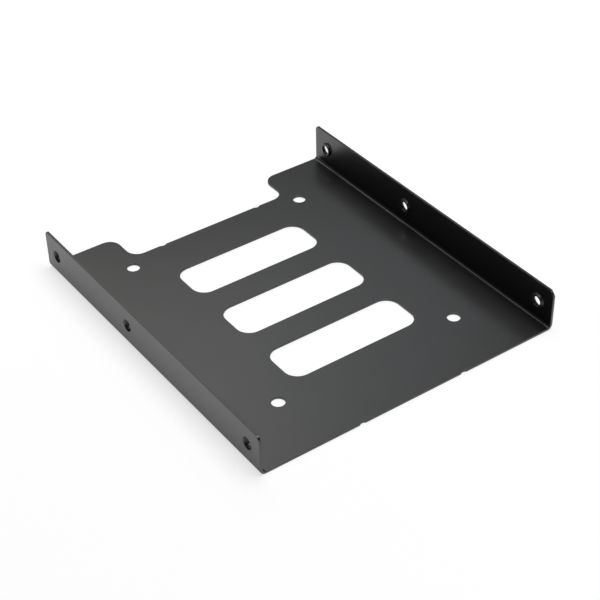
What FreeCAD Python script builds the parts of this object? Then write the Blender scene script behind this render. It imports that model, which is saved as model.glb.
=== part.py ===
import FreeCAD, Part
import os

# Drive bay adapter bracket: one punched and folded steel sheet, in millimetres.
# X runs across the bracket and Y along its flanges, with the cut-out at +Y. Z is up.
# The origin is on the underside of the base, in the middle of the footprint.

# Sheet and folds
sheet = 0.8
bend_inner_radius = 1.0

# Outside size, the width being a little under that of the 3.5 inch drive whose bay it fills
overall_width = 101.0
overall_length = 113.5
flange_height = 13.2
front_end_chamfer = 1.5
rear_end_chamfer = 0.8

# Cut-out between the two ears at the rear
cutout_width = 56.3
cutout_depth = 12.0
cutout_corner_radius = 4.0

# Slots through the base, counted from the rear
slot_count = 3
slot_length = 44.7
slot_width = 14.6
slot_corner_radius = 4.5
slot_pitch = 23.8
first_slot_from_rear = 33.7

# Screw holes in the base for a 2.5 inch drive
base_hole_radius = 2.0
base_hole_pitch_x = 61.72
base_hole_pitch_y = 76.6
base_holes_from_rear = 16.7

# Drawn and tapped screw holes in the flanges, bored to the root of the thread.
# The outer ones keep to the ends, which leaves a 3.5 inch drive's pitch of 101.6 between them.
side_hole_height = 7.1
side_holes_from_rear = 6.1
side_holes_from_front = 5.8
middle_side_hole_pitch = 41.3
thread_root_radius = 1.75
collar_wall = 0.4
collar_height = 0.7
collar_entry_radius = 0.5
collar_foot_radius = 0.3
collar_rim_chamfer = 0.15

# Shallow notches in the front edge and in the edge of the cut-out
notch_pitch = 35.0
notch_width = 2.0
notch_depth = 0.4

# Worked out from the sizes above
half_width = overall_width / 2
inner_face_x = half_width - sheet
front_y = -overall_length / 2
rear_y = overall_length / 2
cutout_y = rear_y - cutout_depth
side_hole_pitch = overall_length - side_holes_from_rear - side_holes_from_front
first_side_hole_y = rear_y - side_holes_from_rear
side_hole_ys = [
    first_side_hole_y,
    first_side_hole_y - middle_side_hole_pitch,
    first_side_hole_y - side_hole_pitch,
]

# How far a profile reaches past the faces that it cuts or trims
overrun = 2.0

# Flat metal that is drawn again round the foot of each collar
disc_margin = 0.2

ACROSS = FreeCAD.Vector(1, 0, 0)
ALONG = FreeCAD.Vector(0, 1, 0)
UP = FreeCAD.Vector(0, 0, 1)


def line(start, end):
    return Part.LineSegment(start, end).toShape()


def quarter_arc(centre, radius, start_way, end_way):
    """A quarter circle between two unit directions that are square to each other."""
    middle_way = (start_way + end_way).normalize()
    start = centre + start_way * radius
    middle = centre + middle_way * radius
    end = centre + end_way * radius
    return Part.Arc(start, middle, end).toShape()


def joined(curves):
    """Chain curves into one closed wire, with a straight edge wherever their ends are apart."""
    edges = []
    for number, curve in enumerate(curves):
        following = curves[(number + 1) % len(curves)]
        start = curve.valueAt(curve.LastParameter)
        end = following.valueAt(following.FirstParameter)
        edges.append(curve)
        if start.distanceToPoint(end) > 1e-6:
            edges.append(line(start, end))
    return Part.Wire(edges)


def prism(wire, reach):
    return Part.Face(wire).extrude(reach)


def folded_channel():
    """The section across the folds, run along the bracket, too long and too tall at first."""
    y = front_y - overrun
    top = flange_height + overrun
    bend_outer_radius = bend_inner_radius + sheet
    bend_x = half_width - bend_outer_radius
    right_bend = FreeCAD.Vector(bend_x, y, bend_outer_radius)
    left_bend = FreeCAD.Vector(-bend_x, y, bend_outer_radius)
    right_top = line(FreeCAD.Vector(half_width, y, top), FreeCAD.Vector(inner_face_x, y, top))
    left_top = line(FreeCAD.Vector(-inner_face_x, y, top), FreeCAD.Vector(-half_width, y, top))
    section = joined([
        quarter_arc(left_bend, bend_outer_radius, -ACROSS, -UP),
        quarter_arc(right_bend, bend_outer_radius, -UP, ACROSS),
        right_top,
        quarter_arc(right_bend, bend_inner_radius, ACROSS, -UP),
        quarter_arc(left_bend, bend_inner_radius, -UP, -ACROSS),
        left_top,
    ])
    return prism(section, ALONG * (overall_length + 2 * overrun))


def plan_outline():
    """The outline from above: two ears at the rear and a round-cornered cut-out between them."""
    z = -overrun
    side_x = half_width + overrun
    radius = cutout_corner_radius
    mouth_x = cutout_width / 2 + radius
    floor_x = cutout_width / 2 - radius
    front = line(FreeCAD.Vector(-side_x, front_y, z), FreeCAD.Vector(side_x, front_y, z))
    right_ear = line(FreeCAD.Vector(side_x, rear_y, z), FreeCAD.Vector(mouth_x, rear_y, z))
    left_ear = line(FreeCAD.Vector(-mouth_x, rear_y, z), FreeCAD.Vector(-side_x, rear_y, z))
    outline = joined([
        front,
        right_ear,
        quarter_arc(FreeCAD.Vector(mouth_x, rear_y - radius, z), radius, ALONG, -ACROSS),
        quarter_arc(FreeCAD.Vector(floor_x, cutout_y + radius, z), radius, ACROSS, -ALONG),
        quarter_arc(FreeCAD.Vector(-floor_x, cutout_y + radius, z), radius, -ALONG, -ACROSS),
        quarter_arc(FreeCAD.Vector(-mouth_x, rear_y - radius, z), radius, ACROSS, ALONG),
        left_ear,
    ])
    return prism(outline, UP * (flange_height + 3 * overrun))


def side_outline():
    """The outline from the side: full-height flanges with the top corner off each end."""
    x = -half_width - overrun
    outline = Part.makePolygon([
        FreeCAD.Vector(x, front_y - overrun, -overrun),
        FreeCAD.Vector(x, rear_y + overrun, -overrun),
        FreeCAD.Vector(x, rear_y + overrun, flange_height - rear_end_chamfer - overrun),
        FreeCAD.Vector(x, rear_y - rear_end_chamfer, flange_height),
        FreeCAD.Vector(x, front_y + front_end_chamfer, flange_height),
        FreeCAD.Vector(x, front_y - overrun, flange_height - front_end_chamfer - overrun),
        FreeCAD.Vector(x, front_y - overrun, -overrun),
    ])
    return prism(outline, ACROSS * (overall_width + 2 * overrun))


def slot(centre_y):
    """A round-cornered slot across the base."""
    z = -overrun
    radius = slot_corner_radius
    x = slot_length / 2 - radius
    rear = centre_y + slot_width / 2 - radius
    front = centre_y - slot_width / 2 + radius
    outline = joined([
        quarter_arc(FreeCAD.Vector(x, rear, z), radius, ALONG, ACROSS),
        quarter_arc(FreeCAD.Vector(x, front, z), radius, ACROSS, -ALONG),
        quarter_arc(FreeCAD.Vector(-x, front, z), radius, -ALONG, -ACROSS),
        quarter_arc(FreeCAD.Vector(-x, rear, z), radius, -ACROSS, ALONG),
    ])
    return prism(outline, UP * (sheet + 2 * overrun))


def slots():
    first_y = rear_y - first_slot_from_rear
    return [slot(first_y - slot_pitch * number) for number in range(slot_count)]


def upright_cutter(x, y, radius):
    foot = FreeCAD.Vector(x, y, -overrun)
    return Part.makeCylinder(radius, sheet + 2 * overrun, foot, UP)


def base_holes():
    rear_row_y = rear_y - base_holes_from_rear
    rows = (rear_row_y, rear_row_y - base_hole_pitch_y)
    columns = (-base_hole_pitch_x / 2, base_hole_pitch_x / 2)
    return [upright_cutter(x, y, base_hole_radius) for x in columns for y in rows]


def notches():
    """Arcs of a circle, notch_width long on the edge and notch_depth deep."""
    radius = (notch_width ** 2 / 4 + notch_depth ** 2) / (2 * notch_depth)
    front_centre_y = front_y - radius + notch_depth
    rear_centre_y = cutout_y + radius - notch_depth
    columns = (-notch_pitch / 2, notch_pitch / 2)
    rows = (front_centre_y, rear_centre_y)
    return [upright_cutter(x, y, radius) for x in columns for y in rows]


def light(arc):
    """The same arc as a rational curve, whose revolved face needs far fewer facets."""
    return arc.toNurbs().Edges[0]


def drawn_hole_section(disc_radius):
    """Half a cut through a drawn hole, with depth from the outer face along X, radius along Y."""
    collar_radius = thread_root_radius + collar_wall
    depth = sheet + collar_height
    entry_centre = FreeCAD.Vector(collar_entry_radius, thread_root_radius + collar_entry_radius, 0)
    foot_centre = FreeCAD.Vector(sheet + collar_foot_radius, collar_radius + collar_foot_radius, 0)
    rim_start = FreeCAD.Vector(depth, collar_radius - collar_rim_chamfer, 0)
    rim_end = FreeCAD.Vector(depth - collar_rim_chamfer, collar_radius, 0)
    bore_end = FreeCAD.Vector(depth, thread_root_radius, 0)
    disc_edge = line(FreeCAD.Vector(sheet, disc_radius, 0), FreeCAD.Vector(0, disc_radius, 0))
    return joined([
        light(quarter_arc(entry_centre, collar_entry_radius, -ACROSS, -ALONG)),
        line(bore_end, rim_start),
        line(rim_start, rim_end),
        light(quarter_arc(foot_centre, collar_foot_radius, -ALONG, -ACROSS)),
        disc_edge,
    ])


def with_drawn_holes(body):
    """Cut a disc out of the flange round each hole, and put the drawn metal in its place."""
    collar_reach = thread_root_radius + collar_wall + collar_foot_radius
    entry_reach = thread_root_radius + collar_entry_radius
    disc_radius = max(collar_reach, entry_reach) + disc_margin
    section = Part.Face(drawn_hole_section(disc_radius))
    left_hole = section.revolve(FreeCAD.Vector(0, 0, 0), ACROSS, 360)
    left_disc = Part.makeCylinder(disc_radius, sheet, FreeCAD.Vector(0, 0, 0), ACROSS)
    right_hole = left_hole.mirror(FreeCAD.Vector(0, 0, 0), ACROSS)
    right_disc = left_disc.mirror(FreeCAD.Vector(0, 0, 0), ACROSS)
    discs = []
    holes = []
    for y in side_hole_ys:
        left_place = FreeCAD.Vector(-half_width, y, side_hole_height)
        right_place = FreeCAD.Vector(half_width, y, side_hole_height)
        discs += [left_disc.translated(left_place), right_disc.translated(right_place)]
        holes += [left_hole.translated(left_place), right_hole.translated(right_place)]
    return body.cut(discs).fuse(holes)


def drive_bay_bracket():
    body = folded_channel().common(plan_outline()).common(side_outline())
    body = body.cut(slots() + base_holes() + notches())
    return with_drawn_holes(body).removeSplitter()


bracket = drive_bay_bracket().Solids[0]
os.makedirs("parts", exist_ok=True)
bracket.exportStep("parts/drive_bay_bracket.step")
print("drive_bay_bracket volume", round(bracket.Volume, 1), "cubic mm, valid", bracket.isValid())
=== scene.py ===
# %% [markdown]
# # A drive bay adapter bracket, from flat blank to finished picture
# The real bracket is one sheet of mild steel. A press punches its outline, slots and holes,
# draws a short collar at each side hole, and folds both sides up. The collars are tapped, and
# the whole piece is coated satin black.
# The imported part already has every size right, so this file keeps to those sizes and adds what
# a solid model leaves out: softened edges, cut threads, and the coat itself.

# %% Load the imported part
from math import cos, pi, radians, sin

import bmesh
import bpy
import numpy as np
from mathutils import Matrix, Vector


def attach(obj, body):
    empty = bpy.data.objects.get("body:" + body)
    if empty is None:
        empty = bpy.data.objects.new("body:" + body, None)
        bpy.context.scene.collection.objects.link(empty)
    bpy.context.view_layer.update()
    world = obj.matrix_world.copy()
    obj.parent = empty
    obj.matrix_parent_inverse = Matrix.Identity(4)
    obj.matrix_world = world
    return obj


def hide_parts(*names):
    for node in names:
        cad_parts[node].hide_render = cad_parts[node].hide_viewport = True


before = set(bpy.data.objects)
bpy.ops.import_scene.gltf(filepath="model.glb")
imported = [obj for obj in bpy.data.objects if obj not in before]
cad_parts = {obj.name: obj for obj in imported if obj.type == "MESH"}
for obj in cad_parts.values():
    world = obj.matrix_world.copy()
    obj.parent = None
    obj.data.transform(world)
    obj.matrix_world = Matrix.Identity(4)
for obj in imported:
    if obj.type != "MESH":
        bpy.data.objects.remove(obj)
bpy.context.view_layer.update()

# %% [markdown]
# ## Sizes
# These repeat the driving sizes of the part's source, in millimetres. The flat shape is drawn in
# millimetres too, because Blender's fill and cut tools work best on numbers near 1, and it is
# scaled to metres at the end.

# %% Sizes of the bracket, in millimetres
MM = 0.001
SHEET = 0.8
BEND_INNER = 1.0
BEND_OUTER = BEND_INNER + SHEET
HALF_WIDTH = 101.0 / 2
FRONT_Y = -113.5 / 2
REAR_Y = 113.5 / 2
FLANGE_HEIGHT = 13.2
FRONT_CORNER = 1.5
REAR_CORNER = 0.8
CUTOUT_HALF_WIDTH = 56.3 / 2
CUTOUT_Y = REAR_Y - 12.0
CUTOUT_RADIUS = 4.0
SLOT_LENGTH, SLOT_WIDTH, SLOT_RADIUS = 44.7, 14.6, 4.5
SLOT_YS = [REAR_Y - 33.7 - 23.8 * number for number in range(3)]
BASE_HOLE_RADIUS = 2.0
BASE_HOLE_X = 61.72 / 2
BASE_HOLE_YS = [REAR_Y - 16.7, REAR_Y - 16.7 - 76.6]
NOTCH_X, NOTCH_WIDTH, NOTCH_DEPTH = 35.0 / 2, 2.0, 0.4
SIDE_HOLE_HEIGHT = 7.1
SIDE_HOLE_YS = [REAR_Y - 6.1, REAR_Y - 6.1 - 41.3, FRONT_Y + 5.8]

# %% [markdown]
# ## The unfolded blank
# Folding neither stretches nor squeezes the middle of the sheet. So the length that a bend takes
# up in the flat is a quarter circle through the sheet's middle, and everything above the bend
# keeps its distance from it.

# %% How far the flat sheet reaches
FOLD_X = HALF_WIDTH - BEND_OUTER
BEND_LENGTH = (BEND_INNER + SHEET / 2) * pi / 2


def flat_x(height):
    """Where a point of the flange, by its height above the floor, lies in the flat sheet."""
    return FOLD_X + BEND_LENGTH + height - BEND_OUTER


FLAT_HALF_WIDTH = flat_x(FLANGE_HEIGHT)
print("blank, mm:", round(2 * FLAT_HALF_WIDTH, 2), "across,", REAR_Y - FRONT_Y, "along")

# %% [markdown]
# ## Lines of the blank
# Each line is a closed row of points with the metal on its left. A curve object could draw them
# too, but points let the edge be rolled over by a known amount further on, and let the holes for
# the collars meet the collars point for point.


# %% Arcs, circles, slots and notches as rows of points
CORNER_STEPS, NOTCH_STEPS, HOLE_STEPS = 12, 10, 48


def arc(centre, radius, start, end, steps):
    """Points along an arc, from one angle in degrees to another."""
    angles = np.radians(np.linspace(start, end, steps + 1))
    return [(centre[0] + radius * cos(a), centre[1] + radius * sin(a)) for a in angles]


def circle(centre, radius, steps):
    return arc(centre, radius, 0, -360, steps)[:-1]


def slot(centre_y):
    """A round-cornered slot, drawn clockwise because the metal is outside it."""
    x, y, r = SLOT_LENGTH / 2 - SLOT_RADIUS, SLOT_WIDTH / 2 - SLOT_RADIUS, SLOT_RADIUS
    return (arc((x, centre_y + y), r, 90, 0, CORNER_STEPS)
            + arc((x, centre_y - y), r, 0, -90, CORNER_STEPS)
            + arc((-x, centre_y - y), r, -90, -180, CORNER_STEPS)
            + arc((-x, centre_y + y), r, 180, 90, CORNER_STEPS))


def notch(x, y, inwards):
    """A shallow arc bitten out of an edge. Inwards is 1 where the metal is towards +Y."""
    radius = (NOTCH_WIDTH ** 2 / 4 + NOTCH_DEPTH ** 2) / (2 * NOTCH_DEPTH)
    half_angle = np.degrees(np.arcsin(NOTCH_WIDTH / 2 / radius))
    centre = (x, y - inwards * (radius - NOTCH_DEPTH))
    return arc(centre, radius, inwards * 90 + half_angle, inwards * 90 - half_angle, NOTCH_STEPS)


print("points in a slot:", len(slot(SLOT_YS[0])), "in a notch:", len(notch(NOTCH_X, FRONT_Y, 1)))

# %% The outline, its slots and its holes
ear_x = CUTOUT_HALF_WIDTH + CUTOUT_RADIUS
bay_x = CUTOUT_HALF_WIDTH - CUTOUT_RADIUS
outline = (
    [(-FLAT_HALF_WIDTH, FRONT_Y + FRONT_CORNER), (-FLAT_HALF_WIDTH + FRONT_CORNER, FRONT_Y)]
    + notch(-NOTCH_X, FRONT_Y, 1) + notch(NOTCH_X, FRONT_Y, 1)
    + [(FLAT_HALF_WIDTH - FRONT_CORNER, FRONT_Y), (FLAT_HALF_WIDTH, FRONT_Y + FRONT_CORNER)]
    + [(FLAT_HALF_WIDTH, REAR_Y - REAR_CORNER), (FLAT_HALF_WIDTH - REAR_CORNER, REAR_Y)]
    + arc((ear_x, REAR_Y - CUTOUT_RADIUS), CUTOUT_RADIUS, 90, 180, CORNER_STEPS)
    + arc((bay_x, CUTOUT_Y + CUTOUT_RADIUS), CUTOUT_RADIUS, 0, -90, CORNER_STEPS)
    + notch(NOTCH_X, CUTOUT_Y, -1) + notch(-NOTCH_X, CUTOUT_Y, -1)
    + arc((-bay_x, CUTOUT_Y + CUTOUT_RADIUS), CUTOUT_RADIUS, -90, -180, CORNER_STEPS)
    + arc((-ear_x, REAR_Y - CUTOUT_RADIUS), CUTOUT_RADIUS, 0, 90, CORNER_STEPS)
    + [(-FLAT_HALF_WIDTH + REAR_CORNER, REAR_Y), (-FLAT_HALF_WIDTH, REAR_Y - REAR_CORNER)]
)
punched = [slot(y) for y in SLOT_YS]
punched += [circle((side * BASE_HOLE_X, y), BASE_HOLE_RADIUS, HOLE_STEPS)
            for side in (-1, 1) for y in BASE_HOLE_YS]
print("outline points:", len(outline), "punched openings:", len(punched))

# %% [markdown]
# ## Edges that are rolled over
# A punched edge is never sharp: the punch rolls one side over, and the coat rounds the other. A
# Bevel modifier could do it, but it stumbles where long thin triangles meet. Here each line is
# repeated as rows, each a little further in and a little higher, so the edge is round from the
# start. The hole for a collar keeps a plain edge, because the collar's own metal joins it there.

# %% Rows of a rolled edge
EDGE_RADIUS = 0.13
EDGE_STEPS = 3


def moved_in(line, distance):
    """The same line, a little way into the metal on its left."""
    points = np.array(line)
    along = np.roll(points, -1, axis=0) - points
    along /= np.linalg.norm(along, axis=1)[:, None]
    left = np.column_stack([-along[:, 1], along[:, 0]])
    before = np.roll(left, 1, axis=0)
    share = 1 + np.sum(left * before, axis=1)
    return points + distance * (left + before) / share[:, None]


def edge_rows():
    """How far in and how high each row of the edge lies, from the top face to the underside."""
    turns = [k / EDGE_STEPS * pi / 2 for k in range(EDGE_STEPS + 1)]
    top = [(EDGE_RADIUS * (1 - sin(a)), SHEET - EDGE_RADIUS * (1 - cos(a))) for a in turns]
    return top + [(inset, SHEET - height) for inset, height in reversed(top)]


print("edge rows:", [(round(i, 3), round(h, 3)) for i, h in edge_rows()])

# %% [markdown]
# ## The sheet between the lines
# The rows of the edges are joined by walls, and each of the two faces is filled with triangles.
# Then the sheet is cut across in a row of lines where it will bend, because a flat triangle can
# only follow a bend if it has corners along it.

# %% Fill one face of the sheet
def fill_level(sheet, rows):
    """Close one face of the sheet: everything inside the outline and outside the openings."""
    edges = [sheet.edges.get((row[i - 1], row[i])) or sheet.edges.new((row[i - 1], row[i]))
             for row in rows for i in range(len(row))]
    bmesh.ops.triangle_fill(sheet, edges=edges, use_beauty=True)


# %% The blank, with a row of cuts where it will bend
BEND_STEPS = 14
RING_STEPS = 64
DISC_RADIUS = 2.65
ON_THE_CUT = 1e-5


def flat_blank():
    """The blank as a bmesh in millimetres, lying on the floor."""
    sheet = bmesh.new()
    tops, bottoms = [], []
    for line in [outline] + punched:
        rows = [[sheet.verts.new((*point, height)) for point in moved_in(line, inset)]
                for inset, height in edge_rows()]
        for upper, lower in zip(rows, rows[1:]):
            for i in range(len(line)):
                sheet.faces.new((lower[i - 1], lower[i], upper[i], upper[i - 1]))
        tops.append(rows[0])
        bottoms.append(rows[-1])
    for side in (-1, 1):
        for y in SIDE_HOLE_YS:
            ring = circle((side * flat_x(SIDE_HOLE_HEIGHT), y), DISC_RADIUS, RING_STEPS)
            tops.append([sheet.verts.new((*point, SHEET)) for point in ring])
            bottoms.append([sheet.verts.new((*point, 0)) for point in ring])
    fill_level(sheet, tops)
    fill_level(sheet, bottoms)
    for side in (-1, 1):
        for x in np.linspace(FOLD_X, FOLD_X + BEND_LENGTH, BEND_STEPS + 1):
            everything = sheet.verts[:] + sheet.edges[:] + sheet.faces[:]
            bmesh.ops.bisect_plane(sheet, geom=everything, dist=ON_THE_CUT,
                                   plane_co=(side * x, 0, 0), plane_no=(1, 0, 0))
    bmesh.ops.scale(sheet, vec=(MM, MM, MM), verts=sheet.verts[:])
    return sheet


# %% Make it an object
def as_object(name, mesh_or_bmesh):
    """A new object at the origin that holds the mesh."""
    mesh = mesh_or_bmesh
    if isinstance(mesh_or_bmesh, bmesh.types.BMesh):
        mesh = bpy.data.meshes.new(name)
        mesh_or_bmesh.to_mesh(mesh)
        mesh_or_bmesh.free()
    made = bpy.data.objects.new(name, mesh)
    bpy.context.scene.collection.objects.link(made)
    return made


blank = as_object("blank", flat_blank())
print("blank:", len(blank.data.vertices), "points,", len(blank.data.polygons), "faces")

# %% [markdown]
# ## Writing nodes as sums
# Both the shaping and the coat below are made of nodes. One small class lets the output of a node
# stand in a Python sum, and one method adds any other node: its type, its settings, and then the
# value or the link of each socket.


# %% One output of a node, for use in sums
class Wire:
    """One output of a node, which can be used in sums."""

    def __init__(self, tree, socket):
        self.tree, self.socket = tree, socket

    def __getitem__(self, name):
        """Another output of the same node."""
        return Wire(self.tree, self.socket.node.outputs[name])

    def maths(self, operation, *terms):
        return self.tree.add("ShaderNodeMath", {"operation": operation}, dict(enumerate(terms)))

    def __add__(self, other):
        return self.maths("ADD", self, other)

    def __radd__(self, other):
        return self.maths("ADD", other, self)

    def __sub__(self, other):
        return self.maths("SUBTRACT", self, other)

    def __rsub__(self, other):
        return self.maths("SUBTRACT", other, self)

    def __mul__(self, other):
        return self.maths("MULTIPLY", self, other)

    def __rmul__(self, other):
        return self.maths("MULTIPLY", other, self)

    def __truediv__(self, other):
        return self.maths("DIVIDE", self, other)

    def __rtruediv__(self, other):
        return self.maths("DIVIDE", other, self)

    def __abs__(self):
        return self.maths("ABSOLUTE", self)

    def __gt__(self, other):
        return self.maths("GREATER_THAN", self, other)

    def __lt__(self, other):
        return self.maths("LESS_THAN", self, other)

    def least(self, other):
        return self.maths("MINIMUM", self, other)

    def most(self, other):
        return self.maths("MAXIMUM", self, other)

    def clamped(self):
        return self.most(0.0).least(1.0)


# %% Any other node
class Tree:
    """Adds nodes to a node tree."""

    def __init__(self, node_tree):
        self.made = node_tree
        self.made.nodes.clear()

    def add(self, kind, settings=None, sockets=None):
        node = self.made.nodes.new(kind)
        for name, value in (settings or {}).items():
            setattr(node, name, value)
        for name, value in (sockets or {}).items():
            if isinstance(value, Wire):
                self.made.links.new(value.socket, node.inputs[name])
            else:
                node.inputs[name].default_value = value
        outputs = [socket for socket in node.outputs if socket.enabled]
        return Wire(self, outputs[0]) if outputs else None


# %% Geometry trees with named sizes
SOCKET_KINDS = {float: "NodeSocketFloat", int: "NodeSocketInt",
                bpy.types.Object: "NodeSocketObject", bpy.types.Material: "NodeSocketMaterial"}


def shaping_tree(name, sizes):
    """A geometry tree with a shape in, a shape out, and one named input for each size."""
    group = bpy.data.node_groups.new(name, "GeometryNodeTree")
    group.interface.new_socket("Geometry", in_out="INPUT", socket_type="NodeSocketGeometry")
    group.interface.new_socket("Geometry", in_out="OUTPUT", socket_type="NodeSocketGeometry")
    for label, value in sizes.items():
        group.interface.new_socket(label, in_out="INPUT", socket_type=SOCKET_KINDS[type(value)])
    return group


def shaped(name, start, group, sizes):
    """Run the tree on an object, with its inputs set by identifier, and keep a plain mesh."""
    modifier = start.modifiers.new(group.name, "NODES")
    modifier.node_group = group
    for item in group.interface.items_tree:
        if item.in_out == "INPUT" and item.name in sizes:
            modifier[item.identifier] = sizes[item.name]
    graph = bpy.context.evaluated_depsgraph_get()
    mesh = bpy.data.meshes.new_from_object(start.evaluated_get(graph), depsgraph=graph)
    start.modifiers.remove(modifier)
    mesh.name = name
    bpy.data.objects.remove(start)
    return mesh


print("sizes that a tree takes:", [kind.__name__ for kind in SOCKET_KINDS])

# %% [markdown]
# ## The coat
# The real finish is a thin satin black coat. Nearly all the light that it sends back is
# a blurred reflection of the room, so its colour is almost black, and what makes it look real is
# how that reflection varies: a fine dust-like grain, the slow waves of a sprayed coat, and a
# roughness that drifts a little from place to place. An even grey would show the same tone in
# any light, which this coat does not.

# %% Satin black coat
COAT_COLOUR = (0.0022, 0.0022, 0.0021, 1.0)
COAT_THIN_COLOUR = (0.008, 0.0079, 0.0075, 1.0)
COAT_ROUGHNESS, COAT_IOR, COAT_RELIEF = 0.285, 1.76, 0.0025 * MM
SPECK_THRESHOLD = 0.70


def satin_coat():
    material = bpy.data.materials.new("satin_black_coat")
    material.use_nodes = True
    tree = Tree(material.node_tree)
    place = tree.add("ShaderNodeTexCoord")["Object"]

    def noise(size, detail=2.0, roughness=0.5):
        """Noise from 0 to 1 whose spots are about as large as the size, in metres."""
        sockets = {"Vector": place, "Scale": 1 / size, "Detail": detail, "Roughness": roughness}
        return tree.add("ShaderNodeTexNoise", {}, sockets)

    grain = noise(0.25 * MM, 1.0)
    waves = noise(1.6 * MM, 1.0)
    drift = noise(18 * MM, 3.0)
    specks = (noise(0.9 * MM, 0.0) - SPECK_THRESHOLD).clamped() * 4.0
    colour = tree.add("ShaderNodeMix", {"data_type": "RGBA"}, {
        "Factor": (0.25 * drift + 0.5 * specks).clamped(), 6: COAT_COLOUR, 7: COAT_THIN_COLOUR})
    height = 0.55 * grain + 0.9 * waves
    relief = {"Strength": 1.0, "Distance": COAT_RELIEF, "Height": height}
    bump = tree.add("ShaderNodeBump", {}, relief)
    shader = tree.add("ShaderNodeBsdfPrincipled", {}, {
        "Base Color": colour["Result"], "Roughness": COAT_ROUGHNESS + 0.08 * drift + 0.03 * grain,
        "IOR": COAT_IOR, "Normal": bump})
    tree.add("ShaderNodeOutputMaterial", {}, {"Surface": shader})
    return material


coat = satin_coat()
print("coat nodes:", len(coat.node_tree.nodes))

# %% [markdown]
# ## Folding by rule
# A fold is a rule that sends every point of the flat sheet to its place: past the fold line the
# point swings round the bend's centre, and past the end of the bend it goes straight up. The rule
# is the same for every point, so Geometry Nodes can apply it in one step. An armature or a Simple
# Deform modifier could bend the sheet too, but neither would hold the inside radius exactly.

# %% Fold the blank
fold_sizes = {
    "Fold Line": FOLD_X * MM, "Inner Radius": BEND_INNER * MM, "Sheet": SHEET * MM, "Coat": coat,
}


def folding_tree():
    group = shaping_tree("Fold the blank", fold_sizes)
    tree = Tree(group)
    given = tree.add("NodeGroupInput")
    position = tree.add("GeometryNodeInputPosition")
    point = tree.add("ShaderNodeSeparateXYZ", {}, {0: position})
    side = point.maths("SIGN", point["X"])
    past_line = abs(point["X"]) - given["Fold Line"]
    middle_radius = given["Inner Radius"] + 0.5 * given["Sheet"]
    outer_radius = given["Inner Radius"] + given["Sheet"]
    angle = (past_line / middle_radius).most(0.0).least(pi / 2)
    straight = (past_line - middle_radius * (pi / 2)).most(0.0)
    radius = outer_radius - point["Z"]
    across = given["Fold Line"] + past_line.least(0.0) + radius * angle.maths("SINE", angle)
    up = outer_radius - radius * angle.maths("COSINE", angle) + straight
    folded = tree.add("ShaderNodeCombineXYZ", {}, {"X": side * across, "Y": point["Y"], "Z": up})
    moved = tree.add("GeometryNodeSetPosition", {}, {
        "Geometry": given["Geometry"], "Position": folded})
    real = tree.add("GeometryNodeRealizeInstances", {}, {"Geometry": moved})
    coated = tree.add("GeometryNodeSetMaterial", {}, {"Geometry": real, "Material": given["Coat"]})
    tree.add("NodeGroupOutput", {}, {"Geometry": coated})
    return group


folded_sheet = shaped("folded_sheet", blank, folding_tree(), fold_sizes)
print("folded sheet:", len(folded_sheet.vertices), "points")

# %% [markdown]
# ## Drawn and tapped screw holes
# The sheet is only as thick as one turn of a screw's thread, so the press draws the metal inwards
# into a collar, which nearly doubles that depth. All six holes are the same, so one is made and
# placed six times. Its cut-through is a short row of points: the flat rim that joins the sheet, the
# rounded entry, the bore, the collar and its foot. A grid is wrapped round the hole with one column
# for each step round and one row for each point of the cut-through, and the rule of a screw thread
# then moves the rows of the bore in and out: how deep it is cut depends on the depth less a share
# of the turn. A Screw modifier could wind a thread too, but its ends would stop bluntly. Turned
# round for the other flange, not mirrored, the thread stays right-handed.

# %% The cut-through of a drawn hole, as depth from the outer face and radius
ROOT_RADIUS, CREST_RADIUS, PITCH = 1.75, 1.40, 25.4 / 32
COLLAR_RADIUS = ROOT_RADIUS + 0.4
COLLAR_DEPTH = SHEET + 0.7
ENTRY_RADIUS, FOOT_RADIUS, RIM_CHAMFER = 0.5, 0.3, 0.15
ENTRY_STEPS, BORE_POINTS, FOOT_STEPS = 8, 30, 5


def drawn_section():
    entry_centre = (ENTRY_RADIUS, ROOT_RADIUS + ENTRY_RADIUS)
    foot_centre = (SHEET + FOOT_RADIUS, COLLAR_RADIUS + FOOT_RADIUS)
    entry = arc(entry_centre, ENTRY_RADIUS, 180, 270, ENTRY_STEPS)
    bore_depths = np.linspace(ENTRY_RADIUS, COLLAR_DEPTH, BORE_POINTS)[1:]
    bore = [(depth, ROOT_RADIUS) for depth in bore_depths]
    rim = [(COLLAR_DEPTH, COLLAR_RADIUS - RIM_CHAMFER), (COLLAR_DEPTH - RIM_CHAMFER, COLLAR_RADIUS)]
    foot = arc(foot_centre, FOOT_RADIUS, 270, 180, FOOT_STEPS)
    return [(0, DISC_RADIUS)] + entry + bore + rim + foot + [(SHEET, DISC_RADIUS)]


section_points = [(depth * MM, radius * MM, 0) for depth, radius in drawn_section()]
section_mesh = bpy.data.meshes.new("drawn_section")
section_mesh.from_pydata(section_points, [], [])
section = as_object("drawn_section", section_mesh)
print("cut-through points:", len(section_points))

# %% Where the holes are, and the sizes of their thread
CREST_FLAT, FLANK, LEAD_OUT = 0.31, 0.19, 0.1
ENTRY_SLOPE = 2.0
marks_mesh = bpy.data.meshes.new("hole_marks")
marks_mesh.from_pydata([(side * HALF_WIDTH * MM, y * MM, SIDE_HOLE_HEIGHT * MM)
                        for side in (-1, 1) for y in SIDE_HOLE_YS], [], [])
marks = as_object("hole_marks", marks_mesh)
hole_sizes = {
    "Section": section, "Rows": len(section_points), "Columns": RING_STEPS, "Coat": coat,
    "Root Radius": ROOT_RADIUS * MM, "Crest Radius": CREST_RADIUS * MM, "Pitch": PITCH * MM,
    "Crest Flat": CREST_FLAT * MM, "Flank": FLANK * MM, "Entry Depth": ENTRY_RADIUS * MM,
    "Entry Slope": ENTRY_SLOPE, "Lead Out Depth": (COLLAR_DEPTH - LEAD_OUT) * MM,
}
print("holes:", len(marks_mesh.vertices), "pitch of the thread, mm:", round(PITCH, 3))


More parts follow.
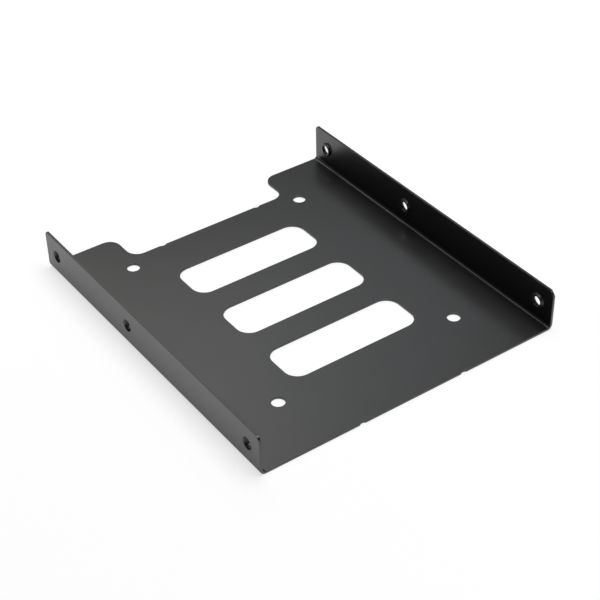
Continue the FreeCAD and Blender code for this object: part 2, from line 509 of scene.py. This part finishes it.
# %% The radius of the threaded bore
def threaded_wall(given, depth, angle):
    """How far the metal of the bore stands from the middle, at a depth and an angle of turn."""
    root, crest = given["Root Radius"], given["Crest Radius"]
    turns = depth / given["Pitch"] - angle / (2 * pi)
    from_crest = abs(turns.maths("FRACT", turns) - 0.5) * given["Pitch"]
    cut_share = ((from_crest - 0.5 * given["Crest Flat"]) / given["Flank"]).clamped()
    thread = crest + cut_share * (root - crest)
    lead_in = root + given["Entry Slope"] * (given["Entry Depth"] - depth)
    lead_out = crest + depth - given["Lead Out Depth"]
    return thread.most(lead_in).most(lead_out).least(root)


# %% Wrap, thread and place
SAME_RADIUS, SAME_POINT = 1e-6, 1e-6


def drawn_hole_tree():
    group = shaping_tree("Drawn screw holes", hole_sizes)
    tree = Tree(group)
    given = tree.add("NodeGroupInput")
    rows, columns = given["Rows"], given["Columns"]
    grid = tree.add("GeometryNodeMeshGrid", {}, {
        "Vertices X": rows, "Vertices Y": columns + 1, "Size X": rows - 1, "Size Y": columns})
    position = tree.add("GeometryNodeInputPosition")
    cell = tree.add("ShaderNodeSeparateXYZ", {}, {0: position})
    row = cell["X"] + 0.5 * (rows - 1)
    angle = cell["Y"] / columns * (2 * pi)
    drawing = tree.add("GeometryNodeObjectInfo", {}, {"Object": given["Section"]})
    point = tree.add("GeometryNodeSampleIndex", {"data_type": "FLOAT_VECTOR", "domain": "POINT"}, {
        "Geometry": drawing["Geometry"], "Value": position, "Index": row.maths("ROUND", row)})
    cut = tree.add("ShaderNodeSeparateXYZ", {}, {0: point})
    depth, radius = cut["X"], cut["Y"]
    root, wall = given["Root Radius"], threaded_wall(given, depth, angle)
    in_bore = radius < root + SAME_RADIUS
    final = radius - in_bore * (root - wall)
    wrapped = tree.add("ShaderNodeCombineXYZ", {}, {
        "X": depth,
        "Y": final * angle.maths("COSINE", angle),
        "Z": final * angle.maths("SINE", angle)})
    ring = tree.add("GeometryNodeSetPosition", {}, {"Geometry": grid["Mesh"], "Position": wrapped})
    closed = tree.add("GeometryNodeMergeByDistance", {}, {"Geometry": ring, "Distance": SAME_POINT})
    half_turn = tree.add("ShaderNodeCombineXYZ", {}, {"Z": (cell["X"] > 0.0) * pi})
    turned = tree.add("FunctionNodeEulerToRotation", {}, {0: half_turn})
    placed = tree.add("GeometryNodeInstanceOnPoints", {}, {
        "Points": given["Geometry"], "Instance": closed, "Rotation": turned})
    real = tree.add("GeometryNodeRealizeInstances", {}, {"Geometry": placed})
    coated = tree.add("GeometryNodeSetMaterial", {}, {"Geometry": real, "Material": given["Coat"]})
    tree.add("NodeGroupOutput", {}, {"Geometry": coated})
    return group


drawn_holes = shaped("drawn_holes", marks, drawn_hole_tree(), hole_sizes)
bpy.data.objects.remove(section)
print("drawn holes:", len(drawn_holes.vertices), "points,", len(drawn_holes.polygons), "faces")

# %% [markdown]
# ## One piece of metal
# The holes' rims and the sheet's edges share their points, so joining both meshes and merging what
# coincides leaves a single closed skin, as the real bracket has. Weighted normals then let the
# large flat faces keep their own direction, so that all the turning of the light happens on the
# bends and on the thin rolled edges.


# %% Join and close
SEAM_WIDTH = 2e-6


def one_skin(name, meshes):
    skin = bmesh.new()
    for mesh in meshes:
        skin.from_mesh(mesh)
    bmesh.ops.remove_doubles(skin, verts=skin.verts[:], dist=SEAM_WIDTH)
    bmesh.ops.recalc_face_normals(skin, faces=skin.faces[:])
    open_edges = sum(len(edge.link_faces) != 2 for edge in skin.edges)
    volume = skin.calc_volume(signed=True) / MM ** 3
    print("skin: open edges", open_edges, "volume, cubic mm", round(volume, 1))
    for face in skin.faces:
        face.smooth = True
        face.material_index = 0
    made = as_object(name, skin)
    made.data.materials.append(coat)
    return made


# %% Flat faces keep their own direction
def with_weighted_normals(piece):
    """Weigh each corner's normal by the area of the faces that meet there."""
    modifier = piece.modifiers.new("Flat faces first", "WEIGHTED_NORMAL")
    graph = bpy.context.evaluated_depsgraph_get()
    piece.data = bpy.data.meshes.new_from_object(piece.evaluated_get(graph), depsgraph=graph)
    piece.modifiers.remove(modifier)


bracket = one_skin("coated_bracket", [folded_sheet, drawn_holes])
with_weighted_normals(bracket)
coats = [material.name for material in bracket.data.materials]
print("bracket:", len(bracket.data.polygons), "faces, slots", coats)

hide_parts("drive_bay_bracket")
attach(bracket, "root")

# %% [markdown]
# ## The floor
# The bracket lies on a white table that has no visible end, and the table takes its soft shadow.
# The lamps light the table less and less towards its edge. A part of its white is therefore its
# own glow, seen only by the camera and in reflections, which grows as the light of the lamps
# fades, so that the ground is white everywhere without more light on the bracket. In the picture
# the ground is almost free of shadow, though the left flange still mirrors a darker strip along
# its foot. So the table shows the camera more of its own glow and less of the lamps' light than it
# shows to reflections: its white stays the same, and the shadow is fainter. The table lies a hair
# under the metal, because two faces in one place would flicker, and from below it is open, so
# that the underside can be looked at.

# %% White floor
FLOOR_GREY, FLOOR_WHITE, LAMPLIT_SHARE, LAMP_HEIGHT = 0.82, 0.98, 0.57, 0.74
SHADOW_FADE = 0.5
FLOOR_RADIUS, FLOOR_CORNERS, FLOOR_GAP = 3.0, 64, 0.02 * MM


def white_floor():
    material = bpy.data.materials.new("white_table")
    material.use_nodes = True
    tree = Tree(material.node_tree)
    place = tree.add("ShaderNodeTexCoord")["Object"]
    from_middle = tree.add("ShaderNodeVectorMath", {"operation": "LENGTH"}, {0: place})
    slant = from_middle / LAMP_HEIGHT
    lamplight = 1.0 / (1.0 + slant * slant)
    path = tree.add("ShaderNodeLightPath")
    seen = path["Is Camera Ray"].most(path["Is Glossy Ray"]).most(path["Is Transmission Ray"])
    faded = 1.0 - SHADOW_FADE * path["Is Camera Ray"]
    own_white = FLOOR_WHITE - LAMPLIT_SHARE * faded * lamplight * lamplight
    paper = tree.add("ShaderNodeBsdfDiffuse", {}, {"Color": FLOOR_GREY * faded})
    glow = tree.add("ShaderNodeEmission", {}, {"Color": own_white, "Strength": seen})
    both = tree.add("ShaderNodeAddShader", {}, {0: paper, 1: glow})
    open_side = tree.add("ShaderNodeBsdfTransparent")
    from_below = tree.add("ShaderNodeNewGeometry")["Backfacing"]
    surface = tree.add("ShaderNodeMixShader", {}, {0: from_below, 1: both, 2: open_side})
    tree.add("ShaderNodeOutputMaterial", {}, {"Surface": surface})
    return material


floor_sheet = bmesh.new()
bmesh.ops.create_circle(
    floor_sheet, cap_ends=True, segments=FLOOR_CORNERS, radius=FLOOR_RADIUS)
bmesh.ops.translate(floor_sheet, vec=(0, 0, -FLOOR_GAP), verts=floor_sheet.verts[:])
floor = as_object("white_table", floor_sheet)
floor.data.materials.append(white_floor())
print("floor, m:", [round(d, 2) for d in floor.dimensions])

# %% [markdown]
# ## Light
# A satin coat shows where its light comes from. In the picture the base is lightest at the rear
# left and fades towards the right flange, whose inside face is nearly black, and the fold there
# carries a thin bright line. So three softboxes hang behind the bracket, where the base and the
# fold mirror them towards the camera, and one large softbox overhead lights the table, which the
# left flange mirrors. The rest of the room is nearly dark, because the dark flange looks out at
# it: an evenly lit room would be simpler, but would turn that flange grey. Past the table's edge
# the camera sees plain white, and reflections see the dark room. The base looks a trace warmer at
# the left than at the right, so the two lamps that it mirrors differ by a trace too.

# %% Room light
ROOM_GLOW = 0.06


def room_light():
    world = bpy.data.worlds.new("pale_room")
    world.use_nodes = True
    bpy.context.scene.world = world
    tree = Tree(world.node_tree)
    path = tree.add("ShaderNodeLightPath")
    strength = path["Is Camera Ray"].most(path["Is Transmission Ray"]).most(ROOM_GLOW)
    sky = tree.add("ShaderNodeBackground", {}, {
        "Color": (1.0, 1.0, 1.0, 1.0), "Strength": strength})
    tree.add("ShaderNodeOutputWorld", {}, {"Surface": sky})


room_light()
print("room glow:", ROOM_GLOW)

# %% Softboxes
WHITE, FAINTLY_WARM, FAINTLY_COOL = (1.0, 1.0, 1.0), (1.01, 1.01, 0.98), (0.96, 1.0, 1.04)


def softbox(name, place, width, height, radiance, tint):
    """A rectangular lamp that faces the bracket. A radiance of 1 looks white."""
    lamp = bpy.data.lights.new(name, "AREA")
    lamp.shape = "RECTANGLE"
    lamp.color = tint
    lamp.size, lamp.size_y = width, height
    lamp.energy = radiance * pi * width * height
    made = bpy.data.objects.new(name, lamp)
    made.location = place
    made.rotation_euler = Vector(place).to_track_quat("Z", "Y").to_euler()
    bpy.context.scene.collection.objects.link(made)
    return made


softboxes = [
    softbox("main_softbox", (0.083, 0.316, 0.380), 0.22, 0.26, 1.28, FAINTLY_WARM),
    softbox("right_softbox", (0.30, 0.34, 0.38), 0.20, 0.16, 1.01, FAINTLY_COOL),
    softbox("rear_softbox", (0.0, 0.55, 0.40), 0.30, 0.30, 0.96, WHITE),
    softbox("overhead_softbox", (0.12, -0.04, 0.74), 0.60, 0.50, 4.07, WHITE),
]
print("softboxes, watts:", {made.name: round(made.data.energy, 3) for made in softboxes})

# %% [markdown]
# ## Camera
# The camera stands where the picture was taken from: to the left of the front, looking down by
# about 37 degrees, with a long lens that keeps the flanges nearly parallel. Its place was worked
# out from the corners and holes of the bracket.

# %% Camera
CAMERA_PLACE = (-0.201904, -0.294009, 0.272768)
CAMERA_AZIMUTH, CAMERA_ELEVATION, CAMERA_ROLL = radians(-34.800), radians(37.546), radians(-1.273)
SENSOR_WIDTH = 36.0
LENS_OVER_SENSOR = 1521.26 / 600


def camera_turn(azimuth, elevation, roll):
    """The camera's right, up and backward directions as the columns of a matrix."""
    back = Vector((sin(azimuth) * cos(elevation), -cos(azimuth) * cos(elevation), sin(elevation)))
    right = Vector((0, 0, 1)).cross(back).normalized()
    up = back.cross(right)
    rolled_right = cos(roll) * right + sin(roll) * up
    rolled_up = cos(roll) * up - sin(roll) * right
    return Matrix((rolled_right, rolled_up, back)).transposed()


camera = bpy.data.cameras.new("camera")
camera.sensor_width = SENSOR_WIDTH
camera.lens = LENS_OVER_SENSOR * camera.sensor_width
camera.clip_start, camera.clip_end = 0.01, 20.0
camera_object = bpy.data.objects.new("camera", camera)
turn = camera_turn(CAMERA_AZIMUTH, CAMERA_ELEVATION, CAMERA_ROLL)
camera_object.matrix_world = Matrix.Translation(CAMERA_PLACE) @ turn.to_4x4()
bpy.context.scene.collection.objects.link(camera_object)
bpy.context.scene.camera = camera_object
bpy.context.scene.view_settings.view_transform = "Standard"
print("lens, mm:", round(camera.lens, 2))
